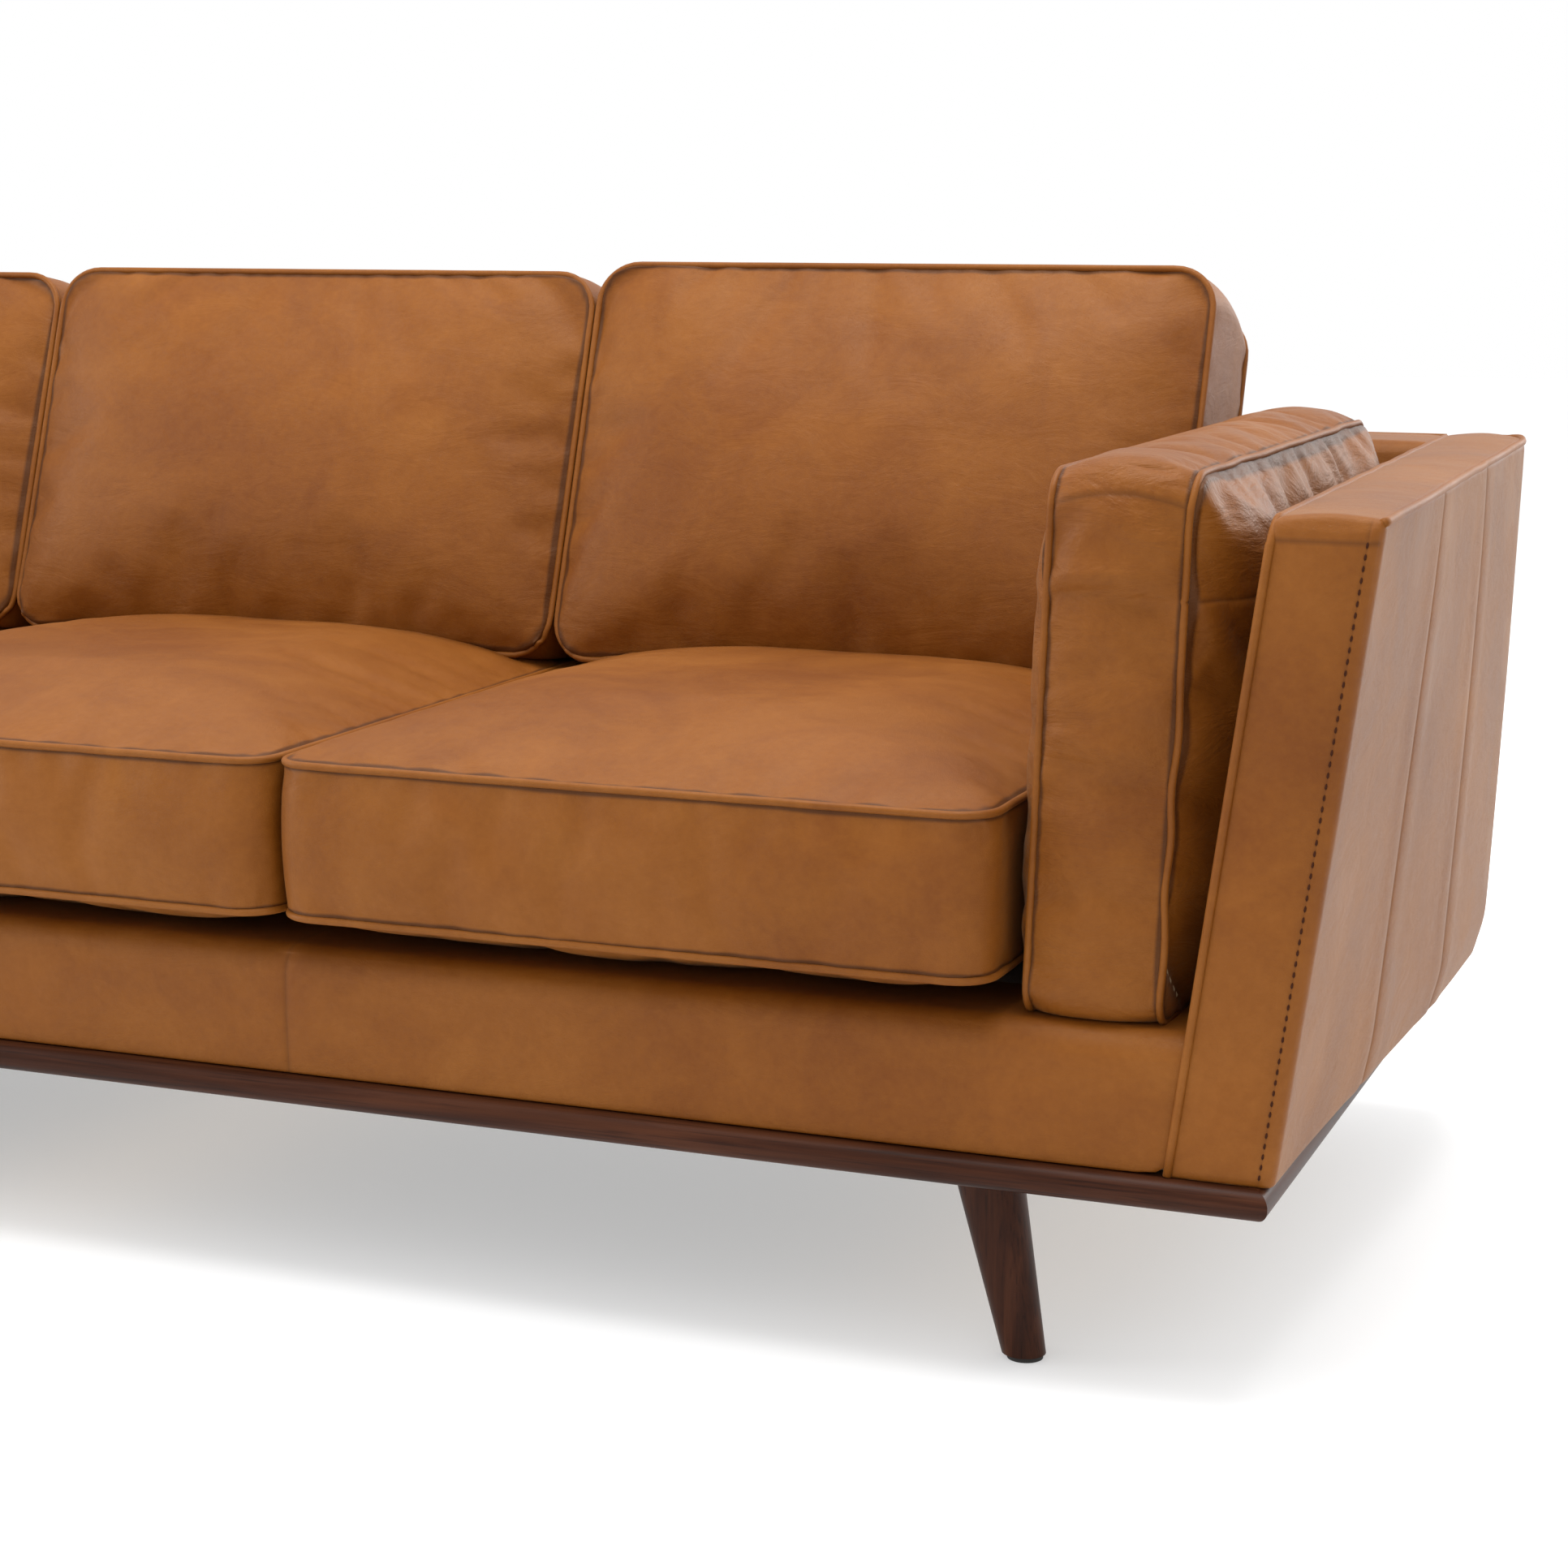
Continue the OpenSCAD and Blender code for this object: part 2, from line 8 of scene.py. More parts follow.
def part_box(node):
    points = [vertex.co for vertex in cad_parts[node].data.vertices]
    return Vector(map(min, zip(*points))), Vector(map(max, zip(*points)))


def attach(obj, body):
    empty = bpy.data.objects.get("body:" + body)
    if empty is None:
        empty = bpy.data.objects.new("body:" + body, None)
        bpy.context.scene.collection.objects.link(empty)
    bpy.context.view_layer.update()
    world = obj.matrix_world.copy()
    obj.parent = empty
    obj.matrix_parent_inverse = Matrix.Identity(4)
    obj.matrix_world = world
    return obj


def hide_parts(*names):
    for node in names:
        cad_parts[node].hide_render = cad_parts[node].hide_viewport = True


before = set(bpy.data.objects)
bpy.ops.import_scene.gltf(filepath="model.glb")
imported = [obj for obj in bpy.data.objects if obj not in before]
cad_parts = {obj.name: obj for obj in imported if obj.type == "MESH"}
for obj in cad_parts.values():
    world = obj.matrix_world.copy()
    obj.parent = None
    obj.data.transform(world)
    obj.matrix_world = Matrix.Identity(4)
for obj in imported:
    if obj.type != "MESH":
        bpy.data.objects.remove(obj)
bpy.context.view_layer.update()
sides = {"left": -1, "right": 1}
seats = {"left": -1, "middle": 0, "right": 1}
tiny = 1e-6  # points closer than this lie on the same face
seamReach = 0.0022  # how far the groove of a flat seam reaches to each side


def span(low, high, step, seams=()):
    # places for cuts from low to high about a step apart, with three close ones at each seam
    count = max(2, round((high - low) / step))
    places = [low + (high - low) * i / count for i in range(count + 1)]
    for line in seams:
        places = [p for p in places if abs(p - line) > 1.6 * seamReach or p in (low, high)]
        places += [line - seamReach, line, line + seamReach]
    return sorted(places)


def edged(low, high, step, edge, count=4):
    # places like span, with more of them within an edge's length from both ends
    return fringed(low, high, step, edge, [edge * (i / count) ** 1.7 for i in range(count)])


def fringed(low, high, step, edge, rows, seams=()):
    # places like span, with these rows in from both ends before the even ones
    inner = span(low + edge, high - edge, step, seams)
    return [low + p for p in rows] + inner + [high - p for p in reversed(rows)]


def closing(end, band, count):
    # even places over the last band before the end, and the end itself
    return [end - band * (count - 1 - i) / count for i in range(count)]


def gridBlock(places):
    # a block of quads with its cuts at these places along x, y and z
    bm = bmesh.new()
    bmesh.ops.create_cube(bm, size=1.0)
    for axis in range(3):
        across = [e for e in bm.edges if abs(e.verts[0].co[axis] - e.verts[1].co[axis]) > 0.9]
        bmesh.ops.subdivide_edges(bm, edges=across, cuts=len(places[axis]) - 2, use_grid_fill=True)
    for v in bm.verts:
        v.co = [row[round((c + 0.5) * (len(row) - 1))] for c, row in zip(v.co, places)]
    return bm


def roundEdge(p, q, r):
    # p and q are depths under two faces that meet; near the edge they move onto an arc
    if p >= r or q >= r:
        return p, q
    a, b = 1 - p / r, 1 - q / r
    return r * (1 - a * math.sqrt(1 - b * b / 2)), r * (1 - b * math.sqrt(1 - a * a / 2))


def smooth(low, high, value):
    t = min(1.0, max(0.0, (value - low) / (high - low)))
    return t * t * (3 - 2 * t)


def arch(share):
    # 0 at both ends of a span, 1 at its middle
    return math.sin(math.pi * min(1.0, max(0.0, share)))


def dip(value, lines, width=seamReach):
    # 1 on a seam line, falling to 0 beside it
    return max((math.exp(-((value - line) / width) ** 2) for line in lines), default=0.0)


def wrinkle(x, y, z, seed=0.0):
    return noise.noise(Vector((x + seed, y - seed, z + 0.37 * seed)))


def meshFrom(bm, name):
    mesh = bpy.data.meshes.new(name)
    bm.to_mesh(mesh)
    bm.free()
    mesh.shade_smooth()
    return mesh


def place(name, mesh, body, material):
    piece = bpy.data.objects.new(name, mesh)
    bpy.context.scene.collection.objects.link(piece)
    mesh.materials.clear()
    mesh.materials.append(material)
    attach(piece, body)
    return piece


def paintSeamShade(mesh, values):
    # marks where the leather is painted darker beside a seam: painted shade in the seam's groove
    near = mesh.attributes.new("nearSeam", "FLOAT", "POINT")
    near.data.foreach_set("value", values)


def subdivide(piece):
    mod = piece.modifiers.new("subdivision", "SUBSURF")
    mod.levels = 1
    mod.render_levels = 1


def tube(name, paths, radius, body, material, closed=False):
    # one mesh of round cord along each path
    curve = bpy.data.curves.new(name, "CURVE")
    curve.dimensions = "3D"
    curve.bevel_depth = radius
    curve.bevel_resolution = 3
    curve.use_fill_caps = True
    for points in paths:
        line = curve.splines.new("POLY")
        line.points.add(len(points) - 1)
        for spot, co in zip(line.points, points):
            spot.co = (*co, 1.0)
        line.use_cyclic_u = closed
    holder = bpy.data.objects.new(name + "_path", curve)
    mesh = bpy.data.meshes.new_from_object(holder)
    bpy.data.objects.remove(holder)
    bm = bmesh.new()
    bm.from_mesh(mesh)
    bmesh.ops.remove_doubles(bm, verts=bm.verts, dist=0.00005)
    bmesh.ops.recalc_face_normals(bm, faces=bm.faces)
    bpy.data.meshes.remove(mesh)
    return place(name, meshFrom(bm, name), body, material)


def stitchRow(name, path, length, thick, body, material):
    # one short thread bead on each step of the path
    bm = bmesh.new()
    for a, b in zip(path, path[1:]):
        along = (b - a).normalized().to_track_quat("Z", "Y").to_matrix().to_4x4()
        size = Matrix.Diagonal((thick, thick, length, 1.0))
        bmesh.ops.create_icosphere(bm, subdivisions=1, radius=0.5,
                                   matrix=Matrix.Translation((a + b) / 2) @ along @ size)
    return place(name, meshFrom(bm, name), body, material)


class Wire:
    # a socket that can stand in sums
    def __init__(self, paint, socket):
        self.paint = paint
        self.socket = socket

    def math(self, operation, *values):
        return self.paint.node("Math", {"operation": operation}, dict(enumerate(values)))

    def __add__(self, other):
        return self.math("ADD", self, other)

    __radd__ = __add__

    def __sub__(self, other):
        return self.math("SUBTRACT", self, other)

    def __rsub__(self, other):
        return self.math("SUBTRACT", other, self)

    def __mul__(self, other):
        return self.math("MULTIPLY", self, other)

    __rmul__ = __mul__

    def sine(self):
        return self.math("SINE", self)

    def below(self, edge, soft):
        # 1 where the value is under edge, falling to 0 over soft
        return self.paint.node("MapRange", {"interpolation_type": "SMOOTHSTEP"},
                               {"Value": self, "From Min": edge, "From Max": edge + soft,
                                "To Min": 1.0, "To Max": 0.0})

    def between(self, low, high):
        # the value from 0 to 1 brought to low and high
        return self.paint.node("MapRange", {}, {"Value": self, "To Min": low, "To Max": high})


class Paint:
    # one material and the calls that fill it
    def __init__(self, name):
        self.material = bpy.data.materials.new(name)
        self.material.use_nodes = True
        self.tree = self.material.node_tree
        self.tree.nodes.clear()
        self.coords = self.node("TexCoord", out="Object")

    def node(self, kind, settings=None, sockets=None, out=0):
        # a node of this kind, its settings first and then the values or links of its sockets
        made = self.tree.nodes.new("ShaderNode" + kind)
        for key, value in (settings or {}).items():
            if key == "stops":
                self.stops(made.color_ramp, value)
            else:
                setattr(made, key, value)
        for key, value in (sockets or {}).items():
            socket = made.inputs[key]
            if isinstance(value, Wire):
                self.tree.links.new(value.socket, socket)
            elif socket.type == "RGBA":
                socket.default_value = (*value, 1.0)
            else:
                socket.default_value = value
        if made.outputs:
            return Wire(self, made.outputs[out])

    def stops(self, ramp, rows):
        for spot in range(2, len(rows)):
            ramp.elements.new(rows[spot][0])
        for element, (at, colour) in zip(ramp.elements, sorted(rows)):
            element.position = at
            element.color = (*colour, 1.0)

    def stretched(self, scale):
        return self.node("Mapping", {}, {"Vector": self.coords, "Scale": scale})

    def noise(self, scale, detail=3.0, rough=0.55, where=None, twist=0.0):
        return self.node("TexNoise", {}, {"Vector": where or self.coords, "Scale": scale, "Detail": detail,
                                          "Roughness": rough, "Distortion": twist})

    def cells(self, scale, feature="F1", where=None):
        return self.node("TexVoronoi", {"feature": feature}, {"Vector": where or self.coords, "Scale": scale},
                         out="Distance")

    def ramp(self, value, stops):
        return self.node("ValToRGB", {"stops": stops}, {0: value})

    def mix(self, share, a, b):
        # the Mix node's colour sockets are its inputs 6 and 7 and its output 2
        return self.node("Mix", {"data_type": "RGBA"}, {0: share, 6: a, 7: b}, out=2)

    def bump(self, height, depth, strength=1.0, over=None):
        sockets = {"Height": height, "Distance": depth, "Strength": strength}
        if over is not None:
            sockets["Normal"] = over
        return self.node("Bump", {}, sockets)

    def finish(self, colour, roughness, normal=None, fixed=None):
        sockets = {"Base Color": colour, "Roughness": roughness, **(fixed or {})}
        if normal is not None:
            sockets["Normal"] = normal
        self.node("OutputMaterial", {}, {"Surface": self.node("BsdfPrincipled", {}, sockets)})
        return self.material


# seam is the colour of the painted shade beside seams and piping
leatherLook = {
    "body": (0.192, 0.0580, 0.0050), "pale": (0.234, 0.0780, 0.0100), "deep": (0.146, 0.0385, 0.0024),
    "seam": (0.036, 0.0085, 0.0015), "patch": 2.6, "cloud": 11.0, "grain": 950.0, "pore": 2600.0,
    "roughLow": 0.43, "roughHigh": 0.60,
}


def leather(name, creaseDepth=0.0008, fold=1.0, paintedLightShift=0.0, haze=0.03):
    # aniline cowhide: cloudy colour, pebbled grain, soft creases
    look = leatherLook
    paint = Paint(name)
    patch = paint.noise(look["patch"], 4.0, 0.55, twist=0.4)
    cloud = paint.noise(look["cloud"], 5.0, 0.6, twist=0.8)
    speck = paint.noise(150.0, 3.0, 0.6)
    # paintedLightShift moves the tone lighter or darker for the light that falls on each part
    tone = patch * 0.5 + cloud * 0.35 + speck * 0.15 + paintedLightShift
    colour = paint.ramp(tone, [(0.36, look["deep"]), (0.50, look["body"]), (0.64, look["pale"])])
    nearSeam = paint.node("Attribute", {"attribute_name": "nearSeam"}, out="Fac")
    # painted shade: the points marked beside seams are darkened towards the seam colour
    colour = paint.mix(nearSeam * 0.74, colour, look["seam"])
    grain = paint.cells(look["grain"], "F1")
    pore = paint.noise(look["pore"], 2.0, 0.5)
    wander = paint.node("TexNoise", {}, {"Vector": paint.coords, "Scale": 28.0}, out="Color")
    wandering = paint.node("VectorMath", {"operation": "ADD"}, {0: paint.coords, 1: wander})
    veins = paint.cells(62.0, "DISTANCE_TO_EDGE", where=wandering)
    creases = veins.below(0.0, 0.05) * paint.noise(7.0, 2.0).below(0.5, 0.12)
    folds = paint.noise(1.0, 5.0, 0.62, where=paint.stretched((14.0, 14.0, 34.0)), twist=0.6)
    # painted shade: the crease lines are darkened a tenth towards the deep tone
    colour = paint.mix(creases * 0.10, colour, look["deep"])
    rough = (cloud * 0.6 + pore * 0.4).between(look["roughLow"], look["roughHigh"])
    normal = paint.bump(folds, creaseDepth * 5.0, 0.35 * fold)
    normal = paint.bump(creases, 0.0006, 0.35, over=normal)
    normal = paint.bump(grain * 0.6 + pore * 0.4, 0.00022, 0.5, over=normal)
    return paint.finish(colour, rough, normal, {
        "Specular IOR Level": 0.27, "Specular Tint": (1.0, 0.86, 0.68), "Sheen Weight": haze,
        "Sheen Roughness": 0.30, "Sheen Tint": (0.76, 0.86, 0.70)})


def wood(name, grainAlong, dark, mid, light, gloss=(0.30, 0.48), pore=0.35):
    # long grain along one axis, with darker pores and a satin finish
    paint = Paint(name)
    long = [3.0 if axis == grainAlong else 46.0 for axis in "xyz"]
    fibre = [9.0 if axis == grainAlong else 420.0 for axis in "xyz"]
    band = paint.noise(1.0, 4.0, 0.6, where=paint.stretched(long), twist=1.1)
    thread = paint.noise(1.0, 3.0, 0.65, where=paint.stretched(fibre))
    slow = paint.noise(2.2, 2.0)
    tone = band * 0.55 + thread * 0.25 + slow * 0.2
    colour = paint.ramp(tone, [(0.36, dark), (0.5, mid), (0.66, light)])
    pores = thread.below(0.36, 0.08)
    colour = paint.mix(pores * pore, colour, tuple(0.45 * c for c in dark))
    rough = (band * 0.5 + thread * 0.5).between(*gloss)
    normal = paint.bump(thread * 0.7 + band * 0.3, 0.00025, 0.35)
    return paint.finish(colour, rough, normal, {"Specular IOR Level": 0.12})


def walnut(grainAlong):
    return wood("walnut_" + grainAlong, grainAlong, (0.016, 0.0042, 0.0016), (0.038, 0.0105, 0.0038),
                (0.066, 0.0205, 0.0080))


def board(grainAlong):
    return wood("board_" + grainAlong, grainAlong, (0.42, 0.26, 0.13), (0.58, 0.40, 0.22), (0.70, 0.52, 0.31),
                gloss=(0.6, 0.8), pore=0.2)


def foam():
    paint = Paint("foam")
    cells = paint.cells(420.0)
    cloud = paint.noise(9.0, 3.0)
    colour = paint.mix(cloud, (0.78, 0.68, 0.46), (0.88, 0.80, 0.60))
    # painted shade: the pits of the cells are darkened
    colour = paint.mix(cells.below(0.2, 0.25) * 0.4, colour, (0.50, 0.42, 0.26))
    return paint.finish(colour, 0.95, paint.bump(cells, 0.0008, 0.6), {"Specular IOR Level": 0.2})


def steel(name, colour):
    # zinc-plated steel with faint streaks and spots
    paint = Paint(name)
    cloud = paint.noise(35.0, 4.0, 0.6)
    streak = paint.noise(1.0, 3.0, 0.6, where=paint.stretched((20.0, 260.0, 260.0)))
    shade = paint.mix(cloud * 0.5, colour, tuple(0.55 * c for c in colour))
    rough = (cloud * 0.5 + streak * 0.5).between(0.28, 0.5)
    return paint.finish(shade, rough, paint.bump(streak, 0.0001, 0.3), {"Metallic": 1.0})


def weave(name, light, dark, threads, axes="xy"):
    # two sets of threads that cross, each a ridge across its own axis
    paint = Paint(name)
    rows = []
    for axis in axes:
        along = paint.node("SeparateXYZ", {}, {"Vector": paint.coords}, out=axis.upper())
        rows.append((along * (threads * 2 * math.pi)).sine())
    height = rows[0] * rows[1]
    fray = paint.noise(240.0, 3.0, 0.6)
    # painted shade: the colour is darker where the weave lies lower, between the threads
    tone = height * 0.25 + 0.5
    colour = paint.mix(tone + fray * 0.3 - 0.15, dark, light)
    normal = paint.bump(height + fray * 0.5, 0.0004, 0.6)
    return paint.finish(colour, 0.85, normal, {"Sheen Weight": 0.15, "Specular IOR Level": 0.2})


def thread(name, colour):
    # twisted polyester thread
    paint = Paint(name)
    twist = paint.noise(1.0, 2.0, where=paint.stretched((900.0, 900.0, 300.0)))
    shade = paint.mix(twist, colour, tuple(0.6 * c for c in colour))
    return paint.finish(shade, 0.6, paint.bump(twist, 0.0002, 0.5), {"Specular IOR Level": 0.1})


def felt(name, colour):
    paint = Paint(name)
    fuzz = paint.noise(700.0, 4.0, 0.7)
    shade = paint.mix(fuzz, colour, tuple(2.2 * c for c in colour))
    return paint.finish(shade, fuzz.between(0.75, 0.95), paint.bump(fuzz, 0.0004, 0.6))


# copies of one leather, each tone shifted for the light it gets: painted shade on the low front rail, a
# painted highlight on the piping, and slightly darker cushions and body
cushionLeather = leather("leather_cushions", paintedLightShift=-0.012, haze=0.03)
bolsterLeather = leather("leather_bolsters", creaseDepth=0.0011, fold=2.4, haze=0.06)
bodyLeather = leather("leather_body", paintedLightShift=-0.010, haze=0.10)
railLeather = leather("leather_rail", paintedLightShift=-0.045, haze=0.02)
pipingLeather = leather("leather_piping", fold=0.3, paintedLightShift=0.01)
foamLook = foam()
seamThread = thread("seam_thread", (0.050, 0.013, 0.004))

plateSteel = steel("plate_steel", (0.56, 0.56, 0.55))
springSteel = steel("spring_steel", (0.30, 0.31, 0.32))
nodeLooks = [
    (walnut("x"), ["plinth_front", "plinth_rear"]),
    (walnut("y"), ["plinth_left", "plinth_right"]),
    (walnut("z"), ["leg_front_left", "leg_front_right", "leg_rear_left", "leg_rear_right", "leg_centre"]),
    (board("x"), ["front_rail", "rear_rail", "back_top_rail"]),
    (board("y"), ["side_rail_left", "side_rail_right", "seat_stretchers", "arm_rails_left",
                  "arm_rails_right", "leg_board_left", "leg_board_middle", "leg_board_right"]),
    (board("z"), ["corner_blocks", "arm_posts_left", "arm_posts_right", "back_ribs"]),
    (springSteel, ["seat_springs", "spring_clips"]),
    (plateSteel, ["leg_plates", "leg_bolts", "plate_screws", "frame_bolts"]),
    (weave("webbing", (0.66, 0.58, 0.42), (0.42, 0.34, 0.22), 260.0, "xz"), ["back_webbing"]),
    (weave("deck_weave", (0.30, 0.20, 0.12), (0.13, 0.075, 0.04), 520.0), ["deck_cloth"]),
    (weave("dust_weave", (0.035, 0.034, 0.033), (0.012, 0.012, 0.012), 620.0), ["dust_cover"]),
    (foamLook, ["deck_pad"]),
    (felt("glide_felt", (0.012, 0.011, 0.010)), ["foot_glides"]),
]
for material, nodeNames in nodeLooks:
    for nodeName in nodeNames:
        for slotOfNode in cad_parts[nodeName].material_slots:
            slotOfNode.material = material
print("materials made")


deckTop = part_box("deck_cloth")[1].z
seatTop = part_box("seat_cover_middle")[1].z

seatLook = {
    "step": 0.011, "corner": 0.032, "welt": 0.0031, "rise": 0.0225, "low": 0.030, "crown": 0.024,
    "sag": 0.020, "side": 0.005, "pressure": 2.6, "stretch": 0.010, "cap": 0.022, "fill": 0.75,
    "gap": 0.0035,  # to the neighbour's piping
}
backLook = {
    "step": 0.011, "corner": 0.038, "welt": 0.0031, "depth": 0.140, "front": 0.030, "rear": 0.010,
    "side": 0.008, "length": 0.372, "lean": 19.3, "footY": 0.076, "footZ": 0.4535, "pressure": 3.0,
    "stretch": 0.014, "cap": 0.028, "fill": 0.65,
    "taller": {"left": -0.006, "middle": 0.0, "right": 0.010},
}
bolsterLook = {
    "step": 0.0085, "corner": 0.026, "welt": 0.0029, "inner": 0.921, "outer": 1.0225, "tip": 0.006,
    "front": -0.410, "rear": 0.206, "foot": 0.2845, "top": 0.6845, "bulgeIn": 0.016, "bulgeOut": 0.026,
    "round": 0.008, "pressure": 3.4, "stretch": 0.022, "cap": 0.030, "fill": 0.7, "strips": (0.112, 0.176),
    "seamWidth": 0.0011, "seamDepth": 0.0016, "gather": 0.0052, "crease": 0.0070,
    "armSlope": 0.120, "armFoot": 0.179, "armGap": 0.0025, "inside": 0.9032,
}
sewing = {
    "rows": [0.0, 0.0028, 0.0044, 0.0062],  # points beside a seam: the piping hides the first two
    "lastRow": 0.0115, "panelBand": 0.018, "sideBand": 0.0105,  # where the even rows begin
    "shadow": (0.0046, 0.0062), "coverThick": 0.006, "frames": 20,
}


def seamShadeLine(gap):
    # the painted shade beside the piping: 1 beside it, falling to 0 before the next row
    return 1.0 - smooth(*sewing["shadow"], gap)


def sewnBlock(half, step, corner, seams):
    # a block with its four upright edges rounded, its top and bottom outlines are the seams
    rows, band = [*sewing["rows"], sewing["lastRow"]], sewing["panelBand"]
    along = fringed(-half[0], half[0], step, band, rows)
    up = fringed(-half[1], half[1], step, band, rows, seams)
    bm = gridBlock([along, up, fringed(-half[2], half[2], step, sewing["sideBand"], sewing["rows"])])
    for v in bm.verts:
        dx, dy = half[0] - abs(v.co.x), half[1] - abs(v.co.y)
        mx, my = roundEdge(dx, dy, corner)
        v.co.x = math.copysign(half[0] - mx, v.co.x)
        v.co.y = math.copysign(half[1] - my, v.co.y)
    return bm


def outlineGap(across, along, corner):
    # how far a point lies inside the rounded outline, from its depths under two sides
    if across < corner and along < corner:
        return max(0.0, corner - math.hypot(corner - across, corner - along))
    return min(across, along)


def puff(x, y, half):
    # 0 on the outline of a panel, rising fast to 1 inside it
    across = 1 - min(1.0, abs(x) / half[0]) ** 5
    along = 1 - min(1.0, abs(y) / half[1]) ** 5
    return max(0.0, across * along) ** 0.62


def seamLoops(bm, half):
    # the outlines of the two panels, in order round the block
    loops = []
    for level in (half[2], -half[2]):
        rim = [v for v in bm.verts if abs(v.co.z - level) < tiny
               and any(abs(abs(f.normal.z) - 1.0) > 0.02 for f in v.link_faces)]
        rim.sort(key=lambda v: math.atan2(v.co.y / half[1], v.co.x / half[0]))
        loops.append([v.index for v in rim])
    return loops


def swell(mesh, pinned, look):
    # the cover is blown up from inside while its seams hold, as stuffing does
    worker = bpy.data.objects.new("worker", mesh)
    scene = bpy.context.scene
    scene.collection.objects.link(worker)
    group = worker.vertex_groups.new(name="seams")
    group.add(pinned, 1.0, "REPLACE")
    start = np.empty(len(mesh.vertices) * 3)
    mesh.vertices.foreach_get("co", start)
    cloth = worker.modifiers.new("cloth", "CLOTH")
    settings = cloth.settings
    settings.quality = 4
    settings.mass = 0.4
    settings.tension_stiffness = 30
    settings.compression_stiffness = 30
    settings.shear_stiffness = 12
    settings.bending_stiffness = 1.5
    settings.use_pressure = True
    settings.uniform_pressure_force = look["pressure"]
    settings.shrink_min = -look["stretch"]
    settings.vertex_group_mass = "seams"
    settings.effector_weights.gravity = 0
    cloth.point_cache.frame_end = sewing["frames"]
    for step in range(1, sewing["frames"] + 1):
        scene.frame_set(step)
    shown = worker.evaluated_get(bpy.context.evaluated_depsgraph_get())
    end = np.empty(len(start))
    shown.data.vertices.foreach_get("co", end)
    scene.frame_set(1)
    moved = (end - start).reshape(-1, 3)
    length = np.linalg.norm(moved, axis=1, keepdims=True)
    moved *= np.minimum(1.0, look["cap"] / np.maximum(length, 1e-9))
    mesh.vertices.foreach_set("co", (start.reshape(-1, 3) + moved).ravel())
    bpy.data.objects.remove(worker)
    mesh.update()
    print("  swelled", mesh.name, "by up to", round(float(length.max()) * 1000), "mm")


def cushion(name, nodes, body, look, half, shape, settle, material, mirrored=False, sewnAt=None):
    # shape moves the flat panels before the cloth runs, settle moves every point to its place after it
    bm = sewnBlock(half, look["step"], look["corner"], look.get("strips", ()))
    bm.normal_update()
    bm.verts.index_update()
    loops = seamLoops(bm, half)
    rim = {i for loop in loops for i in loop}
    away = []
    for v in bm.verts:
        edgeGap = outlineGap(half[0] - abs(v.co.x), half[1] - abs(v.co.y), look["corner"])
        flat = v.index in rim or half[2] - abs(v.co.z) < tiny
        away.append(0.0 if v.index in rim else max(0.0, edgeGap) if flat else half[2] - abs(v.co.z))
    sewn = [sewnAt(v.co) if sewnAt else 0.0 for v in bm.verts]
    for v in bm.verts:
        v.co = shape(v.co.copy(), v.index in rim)
    mesh = meshFrom(bm, name)
    swell(mesh, sorted(rim), look)
    for v, gap, line in zip(mesh.vertices, away, sewn):
        v.co = settle(v.co.copy(), gap, line)
    if mirrored:
        mesh.flip_normals()
    # painted shade beside the piping and along the strip seams
    paintSeamShade(mesh, [max(seamShadeLine(gap), 0.7 * line) for gap, line in zip(away, sewn)])
    mesh.update()
    paths = [[mesh.vertices[i].co.copy() for i in loop] for loop in loops]
    piece = place(name, mesh, body, material)
    core(name.replace("leather", "filling"), piece, body, nodes[1], math.radians(look.get("lean", 0.0)))
    subdivide(piece)
    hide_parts(nodes[0])
    welts = tube(name.replace("leather", "piping"), paths, look["welt"], body, pipingLeather, closed=True)


def core(name, leatherPiece, body, node, lean):
    # the filling is the cover's own shape, drawn in by a cover's thickness on each side
    upright = Matrix.Rotation(lean, 3, "X")
    bm = bmesh.new()
    bm.from_mesh(leatherPiece.data)
    bm.transform(upright.to_4x4())
    for axis in range(3):
        spots = [v.co[axis] for v in bm.verts]
        middle, reach = (max(spots) + min(spots)) / 2, (max(spots) - min(spots)) / 2
        for v in bm.verts:
            v.co[axis] = middle + (v.co[axis] - middle) * (1 - sewing["coverThick"] / reach)
    bm.transform(upright.inverted().to_4x4())
    piece = place(name, meshFrom(bm, name), body, foamLook)
    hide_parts(node)


